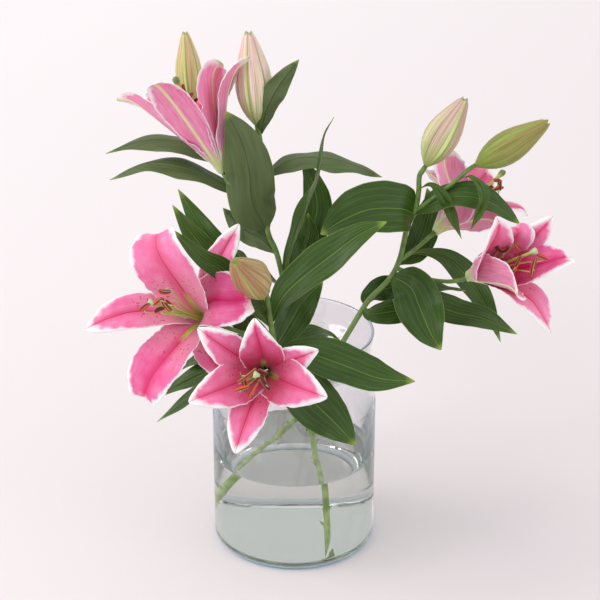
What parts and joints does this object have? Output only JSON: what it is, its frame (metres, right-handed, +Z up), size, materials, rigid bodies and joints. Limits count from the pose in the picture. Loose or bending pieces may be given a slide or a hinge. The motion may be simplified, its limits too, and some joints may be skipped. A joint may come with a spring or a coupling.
{
  "type": "cut lilies in glass vase",
  "caption": "Pink lily stems with open blooms, buds and leaves, standing in a clear glass churn-shaped vase of water.",
  "frame": {"origin": "middle of the vase's underside, on the surface it stands on", "axes": "+Z up, +Y towards the back of the arrangement, +X to the right as seen from the front"},
  "size_m": [0.5112, 0.36, 0.557],
  "materials": {
    "clear_glass": "clear, polished",
    "vase_water": "clear water",
    "leaf_green": "leaf, satin",
    "petal_pink": "petal, matte",
    "anther_rust": "pollen, powdery",
    "bud_green": "bud, satin"
  },
  "bodies": {
    "root": {"vase": "clear_glass", "water": "vase_water", "leafy_stem_1": "leaf_green", "bloom_1": "petal_pink", "stamens_1": "anther_rust", "bud_1": "bud_green", "bud_2": "bud_green", "leafy_stem_2": "leaf_green", "bloom_2": "petal_pink", "bloom_3": "petal_pink", "stamens_2": "anther_rust", "stamens_3": "anther_rust", "bud_3": "bud_green", "leafy_stem_3": "leaf_green", "bloom_4": "petal_pink", "bloom_5": "petal_pink", "stamens_4": "anther_rust", "stamens_5": "anther_rust", "bud_4": "bud_green", "bud_5": "bud_green"}
  },
  "joints": []
}
